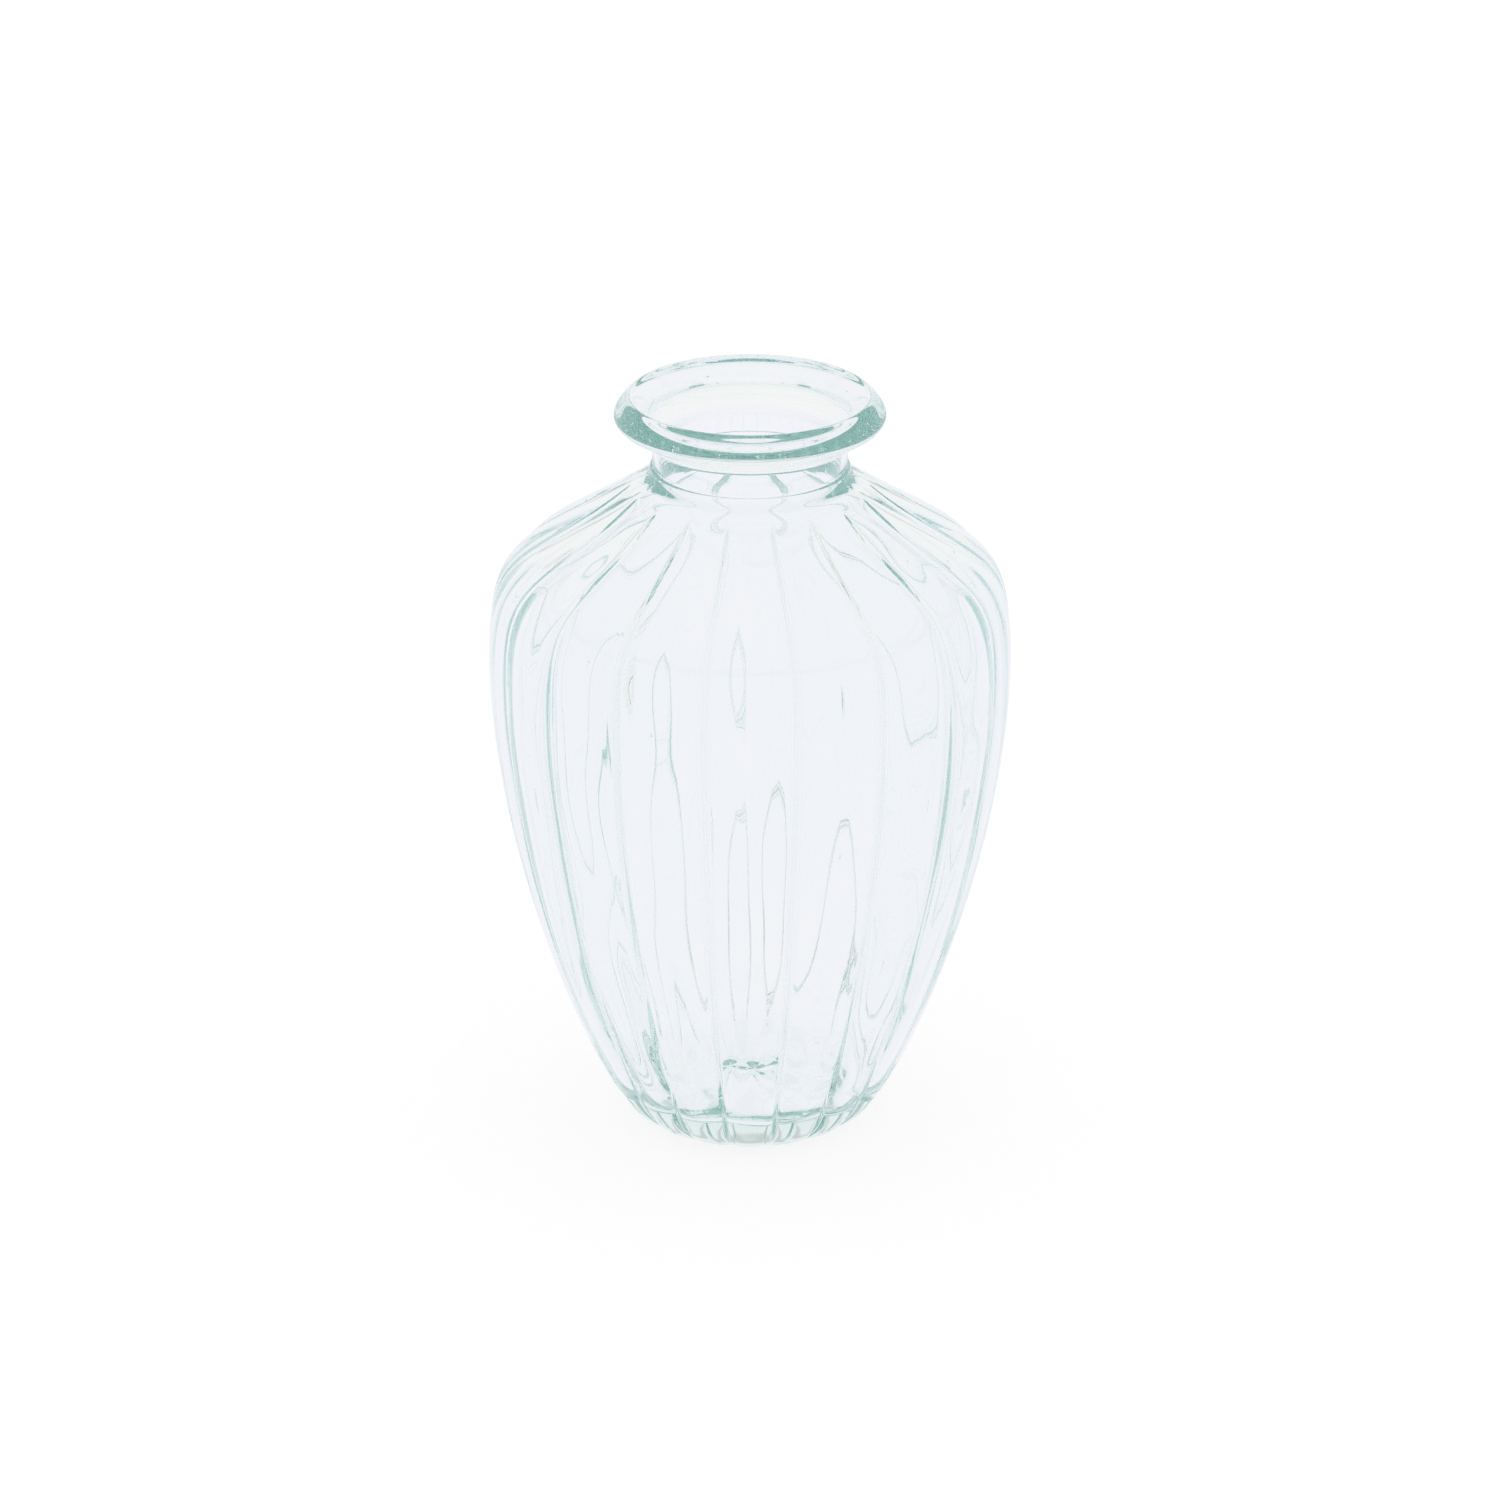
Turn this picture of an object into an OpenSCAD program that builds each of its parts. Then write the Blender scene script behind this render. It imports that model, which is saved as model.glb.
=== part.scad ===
// Glass bud vase: one moulded glass body with eighteen upright lobes, a short neck and a rolled lip.
// The single glass body is drawn as its zones, from the foot to the lip, which meet face to face.
// Millimetres, +Z up, origin at the centre of the resting ring. One lobe faces -Y.

/* [Overall] */
// Height from the resting ring to the top of the lip
vase_h = 110; // [108:0.5:114]
// Thickness of the body wall at the crest of a lobe
wall = 2.8; // [2.4:0.1:3.2]
// Thickness of the glass under the flat inside floor
floor_h = 6; // [5.5:0.1:7]

/* [Foot and heel] */
// Outer radius of the flat resting ring
foot_r = 12; // [11:0.1:13]
// Radial width of the flat resting ring
foot_w = 3.5; // [2.5:0.1:4.5]
// Rise of the hollow inside the resting ring
push_up = 1.5; // [0.8:0.1:1.8]
// Radius at the top of the rounded heel
heel_r = 21; // [20:0.1:22]
// Height of the rounded heel
heel_h = 6.8; // [6:0.1:7.5]
// Lean of the wall from upright at the top of the heel, in degrees
heel_lean = 28; // [24:1:32]

/* [Body] */
// Largest radius, on the lobe crests
belly_r = 37.3; // [36:0.1:38.5]
// Height of the largest radius
belly_h = 71.5; // [70:0.5:73]
// Height of the joint line between the lower wall and the belly
waist_h = 38; // [30:1:45]

/* [Lobes] */
// Number of upright lobes
lobe_count = 18; // [14:2:22]
// Depth of the valleys between lobes
lobe_depth = 1.2; // [0.6:0.1:1.4]
// Height over which the lobes fade out under the neck
lobe_fade = 5; // [3:0.5:7]

/* [Neck and lip] */
// Outer radius of the upright neck
neck_r = 13.9; // [13.6:0.1:14.4]
// Radius of the bore through the neck
bore_r = 12.8; // [12.4:0.1:13]
// Depth of the mould seam round the neck, below the top of the lip
seam_drop = 10.4; // [10:0.1:10.8]
// Radius where the neck's flare ends and the lobes start
root_r = 17; // [16.5:0.1:17.5]
// Depth of the place where the lobes start, below the top of the lip
root_drop = 13.6; // [13.2:0.1:14]
// Outer radius of the rolled lip
lip_r = 19.2; // [18.6:0.1:20]
// Height of the rolled lip with the fillet under it
lip_h = 7.2; // [7:0.1:7.5]
// Radius of the mouth at the foot of its flare
mouth_r = 14.1; // [13.9:0.1:14.3]
// Depth of the mouth's flare below the top of the lip
mouth_drop = 3.2; // [2.8:0.1:3.6]

/* [Hidden] */

seam_h = vase_h - seam_drop;
root_h = vase_h - root_drop;
lip_bottom = vase_h - lip_h;
root_lean = 35;          // slope of the shoulder below horizontal where it meets the neck, degrees
foot_t = 2.5;            // thickness of the foot, from the resting ring to the base
throat_drop = 2;         // the bore starts this far below the seam
lip_wide_drop = 2.8;     // the lip is widest this far below its top
lip_under_drop = 4.9;    // its sloping underside meets the fillet this far below its top
crown_r = lip_r - 2.2;   // radius of its highest line
bore_top_drop = 6.8;     // the bore is straight up to this far below the top
mouth_land = 0.7;        // height of the upright land at the foot of the mouth's flare
lobe_steps = 6;          // facets round one lobe
sides = lobe_count * lobe_steps;
round_fn = 96;           // facets round the plain turned zones
glass_edge = [0.62, 0.80, 0.76, 0.55];
glass_thin = [0.86, 0.93, 0.93, 0.35];

// --- curves -------------------------------------------------------------------------------

// Point at t on the cubic curve with the four control points of c
function cubic(c, t) =
    pow(1 - t, 3) * c[0] + 3 * pow(1 - t, 2) * t * c[1] + 3 * (1 - t) * t * t * c[2] + pow(t, 3) * c[3];

// n + 1 points along the cubic curve, leaving out the first ones when from is above 0
function curve(c, n, from = 0) = [for (i = [from:n]) cubic(c, i / n)];

// Radius and height swapped, as lookup() needs them
function by_height(points) = [for (p = points) [p[1], p[0]]];

heel_top = [heel_r, heel_h];
heel_dir = [sin(heel_lean), cos(heel_lean)];
belly = [belly_r, belly_h];
root = [root_r, root_h];
root_dir = [cos(root_lean), -sin(root_lean)];

heel_curve = [[foot_r, 0], [foot_r + 0.6 * (heel_r - foot_r), 0], heel_top - 0.5 * heel_h * heel_dir, heel_top];
body_curve = [heel_top, heel_top + 17 * heel_dir, belly - [0, 22], belly];
shoulder_curve = [belly, belly + [0, 15.5], root + 20 * root_dir, root];
flare_curve = [root, root - 2.4 * root_dir, [neck_r, seam_h - 1.6], [neck_r, seam_h]];

outer_table = by_height(concat(
    curve(heel_curve, 24, 1),
    curve(body_curve, 40, 1),
    curve(shoulder_curve, 40, 1),
    curve(flare_curve, 12, 1)
));

floor_r = heel_r - wall - 4;
inner_belly = belly - [wall, 0];
inner_low = [heel_r - wall + 2, heel_h + 5];
inner_root = root - wall * [sin(root_lean), cos(root_lean)];
throat = [bore_r, seam_h - throat_drop];

floor_curve = [[floor_r, floor_h], [floor_r + 3.4, floor_h], inner_low - 2.4 * heel_dir, inner_low];
inner_body = [inner_low, inner_low + 15 * heel_dir, inner_belly - [0, 22], inner_belly];
inner_shoulder = [inner_belly, inner_belly + [0, 14.5], inner_root + 18 * root_dir, inner_root];
throat_curve = [inner_root, inner_root - 2.6 * root_dir, throat - [0, 1.6], throat];

inner_table = by_height(concat(
    curve(floor_curve, 12),
    curve(inner_body, 40, 1),
    curve(inner_shoulder, 40, 1),
    curve(throat_curve, 12, 1)
));

function outer_at(z) = lookup(z, outer_table);
function inner_at(z) = lookup(z, inner_table);

// --- lobes --------------------------------------------------------------------------------

// Steepness of the outline: change of radius with height
function slope_at(z) = (outer_at(z + 0.4) - outer_at(z - 0.4)) / 0.8;

// Share of the full lobe depth at height z
function lobe_share(z) =
    sin(90 * min(1, (root_h - z) / lobe_fade)) * (0.25 + 0.75 * sin(90 * min(1, z / 4)));

// Inward step of a valley, measured level, so that its depth across the wall is lobe_depth
function valley(z) = lobe_depth * lobe_share(z) * sqrt(1 + pow(slope_at(max(z, heel_h)), 2));

// 0 on a lobe's crest and 1 in the valley, for the k-th facet corner
function across(k) = pow(abs(((k + lobe_steps / 2) % lobe_steps) / lobe_steps - 0.5) * 2, 2);

function angle_of(k) = 360 * k / sides - 90;

// One ring of corners at height z, with radius r and a valley step
function ring(r, z, step = 0) = [
    for (k = [0:sides - 1])
        let (q = r - step * across(k))
        [q * cos(angle_of(k)), q * sin(angle_of(k)), z]
];

// --- closed solids from stacks of rings ---------------------------------------------------

// Two triangles for every facet between ring a and ring b
function band(a, b) = [
    for (k = [0:sides - 1])
        let (m = (k + 1) % sides)
        each [[a * sides + k, b * sides + m, a * sides + m], [a * sides + k, b * sides + k, b * sides + m]]
];

// A tube closed on itself: the rings run up the outside and down the inside
module ring_solid(rings) {
    count = len(rings);
    points = [for (r = rings) each r];
    faces = [for (i = [0:count - 1]) each band(i, (i + 1) % count)];
    polyhedron(points, faces, convexity = 6);
}

// A solid whose rings run from the middle of its underside up and over to the middle of its top
module capped_solid(rings, low_z, high_z) {
    count = len(rings);
    low = count * sides;
    points = concat([for (r = rings) each r], [[0, 0, low_z], [0, 0, high_z]]);
    walls = [for (i = [0:count - 2]) each band(i, i + 1)];
    under = [for (k = [0:sides - 1]) [low, k, (k + 1) % sides]];
    over = [for (k = [0:sides - 1]) [low + 1, low - sides + (k + 1) % sides, low - sides + k]];
    polyhedron(points, concat(walls, under, over), convexity = 6);
}

// A lobed stretch of wall between two heights
module lobed_wall(z0, z1, outside_steps, inside_steps) {
    outside = [
        for (i = [0:outside_steps])
            let (z = z0 + (z1 - z0) * i / outside_steps)
            ring(outer_at(z), z, valley(z))
    ];
    inside = [
        for (i = [0:inside_steps])
            let (z = z1 + (z0 - z1) * i / inside_steps)
            ring(inner_at(z), z)
    ];
    ring_solid(concat(outside, inside));
}

// --- zones of the glass, from the foot to the lip -----------------------------------------

// Round middle of the underside: the flat resting ring with the hollow inside it
module foot() {
    inner_r = foot_r - foot_w;
    dome = [for (i = [0:10]) [inner_r * i / 10, push_up / 2 * (1 + cos(18 * i))]];
    color(glass_edge)
        rotate_extrude($fn = round_fn)
            polygon(concat(dome, [[foot_r, 0], [foot_r, foot_t], [0, foot_t]]));
}

// Thick glass under the floor, with the lobes turning in under the heel
module base() {
    pocket_r = foot_r / cos(180 / sides);
    heel = [for (p = curve(heel_curve, 14, 1)) if (p[1] < floor_h - 0.3) ring(p[0], p[1], valley(p[1]))];
    top = ring(outer_at(floor_h), floor_h, valley(floor_h));
    color(glass_edge)
        capped_solid(concat([ring(pocket_r, foot_t), ring(pocket_r, 0)], heel, [top]), foot_t, floor_h);
}

// Wall above the floor, with the round inside corner of the floor
module lower_wall() {
    color(glass_thin)
        lobed_wall(floor_h, waist_h, 8, 12);
}

// Widest stretch of the wall
module belly_wall() {
    color(glass_thin)
        lobed_wall(waist_h, belly_h, 9, 9);
}

// Rounded shoulder, on which the lobes run in to the neck
module shoulder() {
    color(glass_thin)
        lobed_wall(belly_h, root_h, 13, 10);
}

// Plain flare between the lobes and the mould seam
module neck_root() {
    outside = curve(flare_curve, 10);
    inside_z = [for (i = [0:8]) seam_h + (root_h - seam_h) * i / 8];
    inside = [for (z = inside_z) [inner_at(min(z, throat[1])), z]];
    color(glass_edge)
        rotate_extrude($fn = round_fn)
            polygon(concat(outside, inside));
}

// Upright neck between the mould seam and the lip
module neck() {
    color(glass_edge)
        rotate_extrude($fn = round_fn)
            translate([bore_r, seam_h])
                square([neck_r - bore_r, lip_bottom - seam_h]);
}

// Rolled lip: fillet, sloping underside, round face, and a mouth that flares out from a short land to the crown
module lip() {
    under = [lip_r - 2.3, vase_h - lip_under_drop];
    wide = [lip_r, vase_h - lip_wide_drop];
    crown = [crown_r, vase_h];
    fillet_curve = [[neck_r, lip_bottom], [neck_r, lip_bottom + 1.1], under - [1.7, 0.7], under];
    under_curve = [under, under + [1.3, 0.55], wide - [0, 1], wide];
    face_curve = [wide, wide + [0, 0.9], crown + [0.5, 0], crown];
    flare_end = [mouth_r, vase_h - mouth_drop];
    flare_dir = [0.574, 0.819];
    flare_curve = [crown, crown - [0.5, 0], flare_end + 3.3 * flare_dir, flare_end];
    land_end = flare_end - [0, mouth_land];
    bore_top = [bore_r, vase_h - bore_top_drop];
    taper_curve = [land_end, land_end - [0.6, 0.5], bore_top + [0, 1.6], bore_top];
    color(glass_edge)
        rotate_extrude($fn = round_fn)
            polygon(concat(
                [[bore_r, lip_bottom]],
                curve(fillet_curve, 8),
                curve(under_curve, 8, 1),
                curve(face_curve, 8, 1),
                curve(flare_curve, 10, 1),
                curve(taper_curve, 6)
            ));
}

foot();
base();
lower_wall();
belly_wall();
shoulder();
neck_root();
neck();
lip();
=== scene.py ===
"""Looks of the glass bud vase: one closed glass skin with lobes, lip, seam and seeds, on a white floor."""

import math

import bpy
import numpy as np
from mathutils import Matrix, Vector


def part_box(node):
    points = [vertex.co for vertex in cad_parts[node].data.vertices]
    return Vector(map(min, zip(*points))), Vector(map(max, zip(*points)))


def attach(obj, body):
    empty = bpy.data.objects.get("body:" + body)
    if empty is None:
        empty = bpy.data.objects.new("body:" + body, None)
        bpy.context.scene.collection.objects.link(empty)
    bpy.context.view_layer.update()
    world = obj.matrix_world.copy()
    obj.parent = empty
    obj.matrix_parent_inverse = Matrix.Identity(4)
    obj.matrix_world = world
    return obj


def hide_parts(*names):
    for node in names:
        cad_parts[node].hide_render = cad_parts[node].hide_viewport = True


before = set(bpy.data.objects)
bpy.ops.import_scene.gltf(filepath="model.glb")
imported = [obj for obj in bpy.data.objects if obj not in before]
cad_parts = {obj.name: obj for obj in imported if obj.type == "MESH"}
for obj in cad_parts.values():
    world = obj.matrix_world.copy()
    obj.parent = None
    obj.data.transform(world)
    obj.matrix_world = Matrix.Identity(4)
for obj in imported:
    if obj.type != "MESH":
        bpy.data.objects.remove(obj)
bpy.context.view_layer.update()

MM = 0.001

# --- driving sizes, in millimetres: the same ones as the CAD source's --------------------------------------

VASE_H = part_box("lip")[1].z / MM
BELLY_R = -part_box("belly_wall")[0].y / MM
BELLY_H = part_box("belly_wall")[1].z / MM
LIP_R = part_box("lip")[1].x / MM
LIP_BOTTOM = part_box("lip")[0].z / MM
SEAM_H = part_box("neck")[0].z / MM
NECK_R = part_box("neck")[1].x / MM
ROOT_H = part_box("neck_root")[0].z / MM
ROOT_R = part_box("neck_root")[1].x / MM
FLOOR_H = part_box("base")[1].z / MM
FOOT_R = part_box("foot")[1].x / MM
FOOT_W = 3.5
PUSH_UP = 1.5
HEEL_R = 21.0
HEEL_H = 6.8
HEEL_LEAN = math.radians(28)
ROOT_LEAN = math.radians(35)
WALL = 2.8
BORE_R = 12.8
CROWN_R = LIP_R - 2.2
MOUTH_R = 14.1
MOUTH_DROP = 3.2
MOUTH_LAND = 0.7
BORE_TOP_DROP = 6.8
LIP_WIDE_DROP = 2.8
LIP_UNDER_DROP = 4.9
LOBES = 18
LOBE_DEPTH = 1.2
LOBE_FADE = 5.0
GROOVE = 0.42
GROOVE_WIDTH = 0.04
SKIN_INSET = 0.13  # keeps the skin inside the CAD box
INNER_SWELL = 0.21  # long waves of the inside wall
INNER_RIPPLE = 0.05  # shorter waves of the inside wall
FLOOR_SWELL = 0.22  # unevenness of the inside floor
INNER_FOLLOW = 0.22  # share of a lobe's depth that the inside wall follows
WALL_SEEDS = 16  # bubbles in the body wall
WALL_SEED_DEPTH = 1.3
LIP_SEEDS = [(-127, 0.16), (-74, 0.12), (112, 0.14), (30, 0.12), (-20, 0.1)]  # degrees round, size


# --- curves --------------------------------------------------------------------------------------


def cubic(a, b, c, d, count):
    """count points along a cubic curve, the ends included."""
    t = np.linspace(0, 1, count)[:, None]
    a, b, c, d = (np.array(p, float) for p in (a, b, c, d))
    return (1 - t) ** 3 * a + 3 * (1 - t) ** 2 * t * b + 3 * (1 - t) * t**2 * c + t**3 * d


def join(*runs):
    """One run of points from several that meet end to end."""
    return np.vstack([runs[0]] + [run[1:] for run in runs[1:]])


def smooth(x):
    """0 to 1 with flat ends."""
    x = np.clip(x, 0, 1)
    return x * x * (3 - 2 * x)


def outline():
    """Radius and height of the skin, from the middle of the underside round and back in to the floor."""
    heel_dir = np.array([math.sin(HEEL_LEAN), math.cos(HEEL_LEAN)])
    root_dir = np.array([math.cos(ROOT_LEAN), -math.sin(ROOT_LEAN)])
    root_out = np.array([math.sin(ROOT_LEAN), math.cos(ROOT_LEAN)])
    heel = np.array([HEEL_R, HEEL_H])
    belly = np.array([BELLY_R, BELLY_H])
    root = np.array([ROOT_R, ROOT_H])
    ring_in = FOOT_R - FOOT_W

    share = np.linspace(0, 1, 8)
    dome = np.stack([ring_in * share, PUSH_UP / 2 * (1 + np.cos(math.pi * share))], axis=1)
    rest = cubic([ring_in, 0], [ring_in + 1, 0], [FOOT_R - 1, 0], [FOOT_R, 0], 4)
    heel_start = [FOOT_R + 0.6 * (HEEL_R - FOOT_R), 0]
    heel_run = cubic([FOOT_R, 0], heel_start, heel - 0.5 * HEEL_H * heel_dir, heel, 22)
    body = cubic(heel, heel + 17 * heel_dir, belly - [0, 22], belly, 44)
    shoulder = cubic(belly, belly + [0, 15.5], root + 20 * root_dir, root, 46)
    seam_r = NECK_R + 0.3
    flare = cubic(root, root - 2.4 * root_dir, [seam_r, SEAM_H - 1.8], [seam_r, SEAM_H - 0.3], 14)
    seam = cubic(flare[-1], [seam_r, SEAM_H - 0.03], [NECK_R + 0.22, SEAM_H], [NECK_R + 0.03, SEAM_H], 6)
    neck = cubic(seam[-1], [NECK_R, SEAM_H], [NECK_R, SEAM_H + 0.4], [NECK_R, LIP_BOTTOM], 5)

    under = np.array([LIP_R - 2.3, VASE_H - LIP_UNDER_DROP])
    wide = np.array([LIP_R, VASE_H - LIP_WIDE_DROP])
    crown = np.array([CROWN_R, VASE_H])
    fillet = cubic(neck[-1], [NECK_R, LIP_BOTTOM + 1.1], under - [1.7, 0.7], under, 10)
    underside = cubic(under, under + [1.3, 0.55], wide - [0, 1], wide, 11)
    face = cubic(wide, wide + [0, 0.9], crown + [0.5, 0], crown, 13)
    flare_end = np.array([MOUTH_R, VASE_H - MOUTH_DROP])
    flare_dir = np.array([0.574, 0.819])
    mouth = cubic(crown, crown - [0.5, 0], flare_end + 3.3 * flare_dir, flare_end, 16)
    land_end = flare_end - [0, MOUTH_LAND]
    land = cubic(flare_end, flare_end - [0, 0.2], land_end + [0, 0.2], land_end, 4)
    bore_top = np.array([BORE_R, VASE_H - BORE_TOP_DROP])
    taper = cubic(land_end, land_end - [0.6, 0.5], bore_top + [0, 1.6], bore_top, 9)

    inner_low = np.array([HEEL_R - WALL + 2, HEEL_H + 5])
    inner_belly = belly - [WALL, 0]
    inner_root = root - WALL * root_out
    throat = np.array([BORE_R, SEAM_H - 2])
    bore = cubic(bore_top, bore_top - [0, 2], throat + [0, 2], throat, 5)
    throat_run = cubic(throat, throat - [0, 1.6], inner_root - 2.6 * root_dir, inner_root, 12)
    in_shoulder = cubic(inner_root, inner_root + 18 * root_dir, inner_belly + [0, 14.5], inner_belly, 34)
    in_body = cubic(inner_belly, inner_belly - [0, 22], inner_low + 15 * heel_dir, inner_low, 34)
    floor_r = HEEL_R - WALL - 4
    corner = cubic(inner_low, inner_low - 2.4 * heel_dir, [floor_r + 3.4, FLOOR_H], [floor_r, FLOOR_H], 14)
    floor = cubic([floor_r, FLOOR_H], [floor_r - 4, FLOOR_H], [4, FLOOR_H], [0, FLOOR_H], 6)

    outside = join(dome, rest, heel_run, body, shoulder, flare, seam, neck, fillet, underside, face)
    inside = join(mouth, land, taper, bore, throat_run, in_shoulder, in_body, corner, floor)
    return outside, inside


# --- lobes and hand-made unevenness --------------------------------------------------------------


def lobe_angles():
    """Angles round the vase, closer together at the valleys, and how far each is across its lobe, -1 to 1."""
    half = 9
    in_from_valley = ((np.arange(half) + 0.5) / half) ** 2
    t = np.concatenate([in_from_valley - 1, (1 - in_from_valley)[::-1]])
    centre = np.arange(LOBES)[:, None] * 2 * math.pi / LOBES - math.pi / 2
    angles = (centre + t[None] * math.pi / LOBES).ravel()
    return angles, np.tile(t, LOBES)


def round_lobe(t):
    """0 on a lobe's crest and 1 in its valley."""
    side = (0.97 * np.abs(t)).clip(0, 1)
    return (0.4 * side**2 + 0.6 * (1 - np.sqrt(1 - side**2))) / 0.84


def groove(t):
    """The narrow line along the bottom of a valley."""
    return np.exp(-(((1 - np.abs(t)) / GROOVE_WIDTH) ** 2))


def lobe_share(z):
    near_root = np.sin(math.pi / 2 * np.clip((ROOT_H - z) / LOBE_FADE, 0, 1))
    near_foot = 0.25 + 0.75 * np.sin(math.pi / 2 * np.clip(z / 4, 0, 1))
    return near_root * near_foot


def groove_share(z):
    """The groove starts sharply under the neck and dies out in the heel."""
    return smooth((ROOT_H - z) / 1.6) * smooth((z - 2.5) / 6)


def ripple(angles, z, seed, waves, span):
    """Smooth unevenness from -1 to 1: a seeded sum of waves round the vase that drift with height."""
    rng = np.random.default_rng(seed)
    total = np.zeros((len(z), len(angles)))
    for _ in range(waves):
        around = rng.integers(2, span)
        rate = rng.uniform(0.02, 0.16)
        phase, drift = rng.uniform(0, 2 * math.pi, 2)
        total += np.sin(around * angles[None] + phase + 1.3 * np.sin(rate * z[:, None] + drift))
    return total / waves**0.5


def skin_points():
    """The closed skin as rows of points, outside then inside, in millimetres."""
    outside, inside = outline()
    angles, t = lobe_angles()
    rise = np.gradient(outside[:, 1])
    slope = np.gradient(outside[:, 0]) / np.where(np.abs(rise) < 1e-6, 1e-6, rise)
    lobed = (outside[:, 0] > FOOT_R - 0.01) & (outside[:, 1] < ROOT_H)
    tilt = np.sqrt(1 + np.clip(slope, -1.5, 0.6) ** 2)
    depth = np.where(lobed, LOBE_DEPTH * lobe_share(outside[:, 1]) * tilt, 0)
    press = np.repeat(np.random.default_rng(3).uniform(0.86, 1.0, LOBES), len(t) // LOBES)
    line = np.where(lobed, GROOVE * LOBE_DEPTH * groove_share(outside[:, 1]) * tilt, 0)
    valley = (1 - GROOVE) * depth[:, None] * (round_lobe(t) * press)[None] + line[:, None] * groove(t)[None]
    out_r = outside[:, :1] - valley - SKIN_INSET * smooth(outside[:, :1] / 10)
    out_z = np.repeat(outside[:, 1:], len(angles), axis=1)

    z = inside[:, 1]
    hollow = smooth((SEAM_H - 4 - z) / 10) * smooth((z - FLOOR_H - 2) / 8)
    swell = INNER_SWELL * ripple(angles, z, 5, 9, 26)
    wave = (swell + INNER_RIPPLE * ripple(angles, z, 17, 8, 44)) * hollow[:, None]
    follow = INNER_FOLLOW * LOBE_DEPTH * round_lobe(t)[None] * hollow[:, None]
    in_r = inside[:, :1] + wave - follow
    near_floor = (1 - smooth((z - FLOOR_H) / 7)) * smooth(inside[:, 0] / 9)
    in_z = inside[:, 1:] + FLOOR_SWELL * ripple(angles, z, 13, 6, 11) * near_floor[:, None]

    r = np.vstack([out_r, in_r[1:]])
    z = np.vstack([out_z, in_z[1:]])
    return np.stack([r * np.cos(angles), r * np.sin(angles), z], axis=-1)


def add_seed(points, faces, centre, size):
    """A small closed bubble, taller than it is wide, whose faces look in to its own air."""
    first = len(points)
    for level in range(1, 6):
        polar = math.pi * level / 6
        for turn in range(8):
            a = 2 * math.pi * turn / 8
            offset = (math.sin(polar) * math.cos(a), math.sin(polar) * math.sin(a), 1.5 * math.cos(polar))
            points.append([c + size * o for c, o in zip(centre, offset)])
    top = len(points)
    points += [[centre[0], centre[1], centre[2] + 1.5 * size], [centre[0], centre[1], centre[2] - 1.5 * size]]
    for turn in range(8):
        after = (turn + 1) % 8
        faces.append((top, first + after, first + turn))
        faces.append((top + 1, first + 32 + turn, first + 32 + after))
        for level in range(4):
            low = first + 8 * level
            faces.append((low + turn, low + after, low + 8 + after, low + 8 + turn))


def add_seeds(points, faces):
    """Seeds of trapped air: a scatter in the body wall on the lobes' crests, and a few in the lip."""
    rng = np.random.default_rng(21)
    outside, _ = outline()
    wall = outside[(outside[:, 1] > 14) & (outside[:, 1] < 92) & (outside[:, 0] > HEEL_R)]
    for _ in range(WALL_SEEDS):
        r, z = wall[rng.integers(len(wall))]
        angle = 2 * math.pi * (rng.integers(LOBES) + rng.uniform(-0.15, 0.15)) / LOBES - math.pi / 2
        inner = r - WALL_SEED_DEPTH
        centre = [inner * math.cos(angle), inner * math.sin(angle), z]
        add_seed(points, faces, centre, rng.uniform(0.08, 0.2))
    for degrees, size in LIP_SEEDS:
        angle = math.radians(degrees)
        ring = LIP_R - 2.4
        centre = [ring * math.cos(angle), ring * math.sin(angle), VASE_H - 3.2]
        add_seed(points, faces, centre, size)


def build_skin():
    rows = skin_points()[1:-1]
    count, sides = rows.shape[:2]
    points = rows.reshape(-1, 3).tolist()
    low = len(points)
    points += [[0, 0, PUSH_UP], [0, 0, FLOOR_H]]
    faces = []
    for i in range(count - 1):
        for k in range(sides):
            m = (k + 1) % sides
            faces.append((i * sides + k, i * sides + m, (i + 1) * sides + m, (i + 1) * sides + k))
    last = (count - 1) * sides
    for k in range(sides):
        m = (k + 1) % sides
        faces.append((low, m, k))
        faces.append((low + 1, last + k, last + m))
    add_seeds(points, faces)
    mesh = bpy.data.meshes.new("vase_glass")
    mesh.from_pydata([[c * MM for c in p] for p in points], [], faces)
    mesh.shade_smooth()
    mesh.validate()
    piece = bpy.data.objects.new("vase_glass", mesh)
    bpy.context.scene.collection.objects.link(piece)
    return piece


# --- materials -----------------------------------------------------------------------------------


def new_material(name):
    material = bpy.data.materials.new(name)
    material.use_nodes = True
    nodes = material.node_tree.nodes
    nodes.clear()
    output = nodes.new("ShaderNodeOutputMaterial")
    return material, nodes, material.node_tree.links, output


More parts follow.
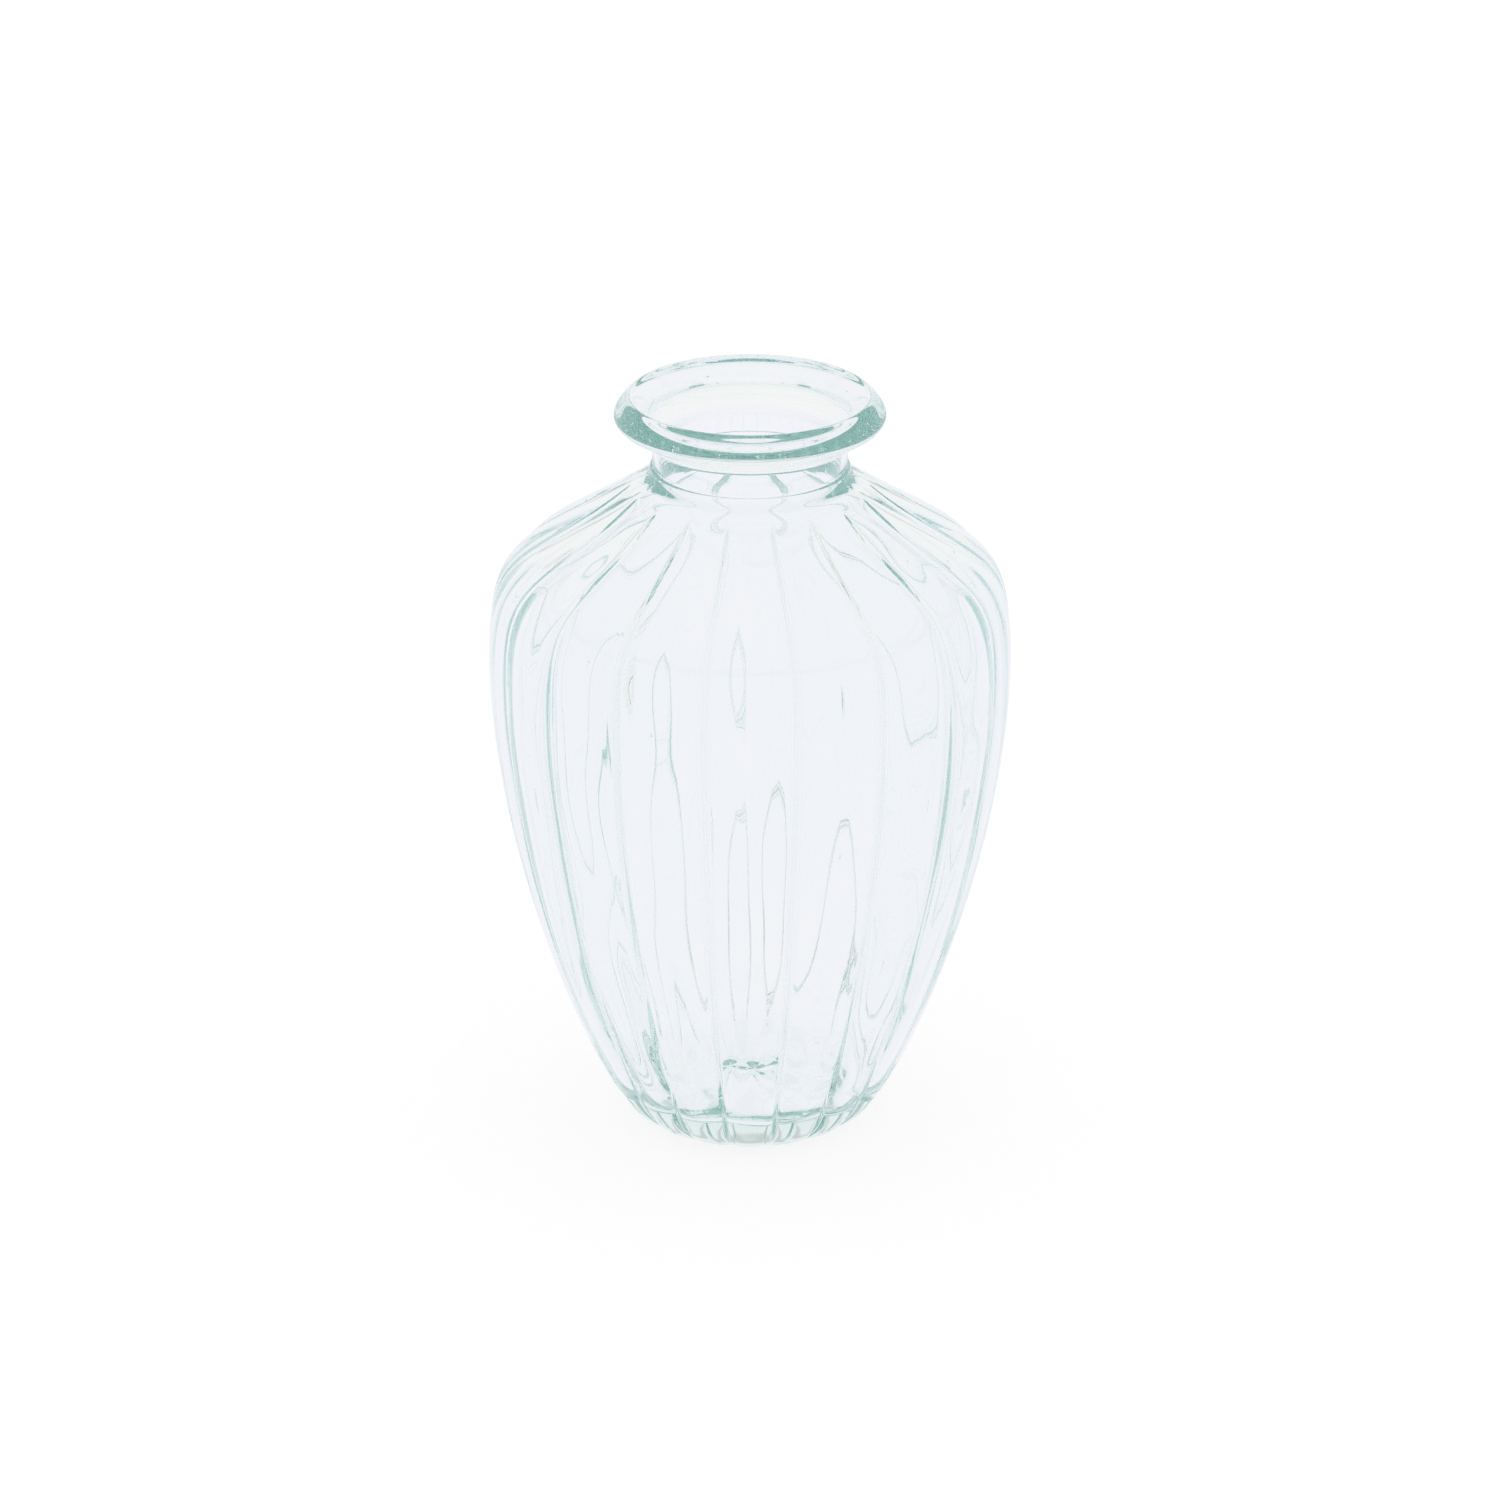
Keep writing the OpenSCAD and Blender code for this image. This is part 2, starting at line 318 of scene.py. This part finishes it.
def glass_material():
    """Clear glass with the faint upright draw lines, uneven polish and slight tint of pressed glass."""
    material, nodes, links, output = new_material("clear_glass")
    shader = nodes.new("ShaderNodeBsdfPrincipled")
    place = nodes.new("ShaderNodeTexCoord")
    stretch = nodes.new("ShaderNodeMapping")
    stretch.inputs["Scale"].default_value = (1.0, 1.0, 0.07)
    links.new(place.outputs["Object"], stretch.inputs["Vector"])

    draw = nodes.new("ShaderNodeTexNoise")
    draw.inputs["Scale"].default_value = 240.0
    draw.inputs["Detail"].default_value = 0.0
    links.new(stretch.outputs["Vector"], draw.inputs["Vector"])
    bump = nodes.new("ShaderNodeBump")
    bump.inputs["Strength"].default_value = 1.0
    bump.inputs["Distance"].default_value = 0.00002
    links.new(draw.outputs["Fac"], bump.inputs["Height"])
    links.new(bump.outputs["Normal"], shader.inputs["Normal"])

    cloud = nodes.new("ShaderNodeTexNoise")
    cloud.inputs["Scale"].default_value = 45.0
    cloud.inputs["Detail"].default_value = 0.0
    links.new(place.outputs["Object"], cloud.inputs["Vector"])
    polish = nodes.new("ShaderNodeMapRange")
    polish.inputs["To Min"].default_value = 0.0
    polish.inputs["To Max"].default_value = 0.006
    links.new(cloud.outputs["Fac"], polish.inputs["Value"])
    links.new(polish.outputs["Result"], shader.inputs["Roughness"])
    tone = nodes.new("ShaderNodeValToRGB")
    tone.color_ramp.elements[0].position = 0.3
    tone.color_ramp.elements[0].color = (0.988, 0.995, 0.994, 1)
    tone.color_ramp.elements[1].position = 0.7
    tone.color_ramp.elements[1].color = (1.0, 1.0, 1.0, 1)
    links.new(cloud.outputs["Fac"], tone.inputs["Fac"])
    links.new(tone.outputs["Color"], shader.inputs["Base Color"])
    shader.inputs["IOR"].default_value = 1.51
    shader.inputs["Transmission Weight"].default_value = 1.0
    links.new(shader.outputs["BSDF"], output.inputs["Surface"])
    tint = nodes.new("ShaderNodeVolumeAbsorption")
    tint.inputs["Color"].default_value = (0.6, 0.81, 0.78, 1)
    tint.inputs["Density"].default_value = 14.5
    links.new(tint.outputs["Volume"], output.inputs["Volume"])
    return material


def floor_material(name, colour, glow, albedo):
    """Pale matt sheet lit from below, so that it is bright under the glass as well."""
    material, nodes, links, output = new_material(name)
    shader = nodes.new("ShaderNodeBsdfPrincipled")
    shader.inputs["Base Color"].default_value = (*(albedo * c for c in colour), 1)
    shader.inputs["Roughness"].default_value = 0.9
    shader.inputs["Specular IOR Level"].default_value = 0.0
    shader.inputs["Emission Color"].default_value = (*colour, 1)
    shader.inputs["Emission Strength"].default_value = glow
    links.new(shader.outputs["BSDF"], output.inputs["Surface"])
    return material


# --- floor, light and camera ---------------------------------------------------------------------


FLOOR_WHITE = (1.0, 1.0, 1.0)
FLOOR_LILAC = (0.985, 0.985, 1.03)


def build_floor():
    """White sheet that the camera sees, and in the same place the faintly lilac one seen through glass."""
    sheets = [("floor", FLOOR_WHITE, 0.83, 0.25), ("floor_through_glass", FLOOR_LILAC, 0.895, 0.03)]
    for name, colour, glow, albedo in sheets:
        bpy.ops.mesh.primitive_circle_add(vertices=128, radius=3, fill_type="NGON", location=(0, 0, -0.00005))
        floor = bpy.context.object
        floor.name = name
        floor.data.materials.append(floor_material("white_" + name, colour, glow, albedo))
        seen = name == "floor"
        floor.visible_camera = seen
        floor.visible_diffuse = seen
        floor.visible_transmission = not seen
        floor.visible_glossy = not seen


# Brightness of the tent by the height of the direction looked in, level at 0.0 and straight up at 1.0
BANDS = [(0.0, 0.93), (0.42, 0.93), (0.45, 0.62), (0.49, 0.62), (0.52, 0.93)]


def build_world():
    """White studio: plain white to the camera, and to the glass a pale tent with one narrow grey band."""
    world = bpy.data.worlds.new("studio")
    bpy.context.scene.world = world
    world.use_nodes = True
    nodes = world.node_tree.nodes
    links = world.node_tree.links
    nodes.clear()
    output = nodes.new("ShaderNodeOutputWorld")
    tent = nodes.new("ShaderNodeBackground")
    white = nodes.new("ShaderNodeBackground")
    path = nodes.new("ShaderNodeLightPath")
    choose = nodes.new("ShaderNodeMixShader")
    place = nodes.new("ShaderNodeTexCoord")
    split = nodes.new("ShaderNodeSeparateXYZ")
    ramp = nodes.new("ShaderNodeValToRGB")
    links.new(place.outputs["Generated"], split.inputs["Vector"])
    links.new(split.outputs["Z"], ramp.inputs["Fac"])
    elements = ramp.color_ramp.elements
    elements.remove(elements[1])
    elements[0].position = BANDS[0][0]
    elements[0].color = (BANDS[0][1], BANDS[0][1], BANDS[0][1], 1)
    for position, value in BANDS[1:]:
        elements.new(position).color = (value, value, value, 1)
    links.new(ramp.outputs["Color"], tent.inputs["Color"])
    links.new(path.outputs["Is Camera Ray"], choose.inputs["Fac"])
    links.new(tent.outputs["Background"], choose.inputs[1])
    links.new(white.outputs["Background"], choose.inputs[2])
    tent.inputs["Strength"].default_value = 1.0
    white.inputs["Color"].default_value = (1, 1, 1, 1)
    white.inputs["Strength"].default_value = 1.0
    links.new(choose.outputs["Shader"], output.inputs["Surface"])


def build_camera():
    """Camera 23 degrees above the horizon, in front of the vase, with a long lens."""
    elevation = math.radians(22.7)
    distance = 0.9286
    target = np.array([0, 0, 0.0561])
    data = bpy.data.cameras.new("camera")
    data.sensor_width = 36
    data.lens = 156
    camera = bpy.data.objects.new("camera", data)
    back = np.array([0, -math.cos(elevation), math.sin(elevation)])
    camera.location = target + distance * back
    camera.rotation_euler = (math.pi / 2 - elevation, 0, 0)
    bpy.context.scene.collection.objects.link(camera)
    bpy.context.scene.camera = camera


build_camera()
vase = build_skin()
vase.data.materials.append(glass_material())
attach(vase, "root")
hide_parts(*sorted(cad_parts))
build_floor()
build_world()

scene = bpy.context.scene
scene.view_settings.view_transform = "Standard"
scene.cycles.max_bounces = 128
scene.cycles.transmission_bounces = 128
scene.cycles.glossy_bounces = 64
scene.cycles.diffuse_bounces = 4
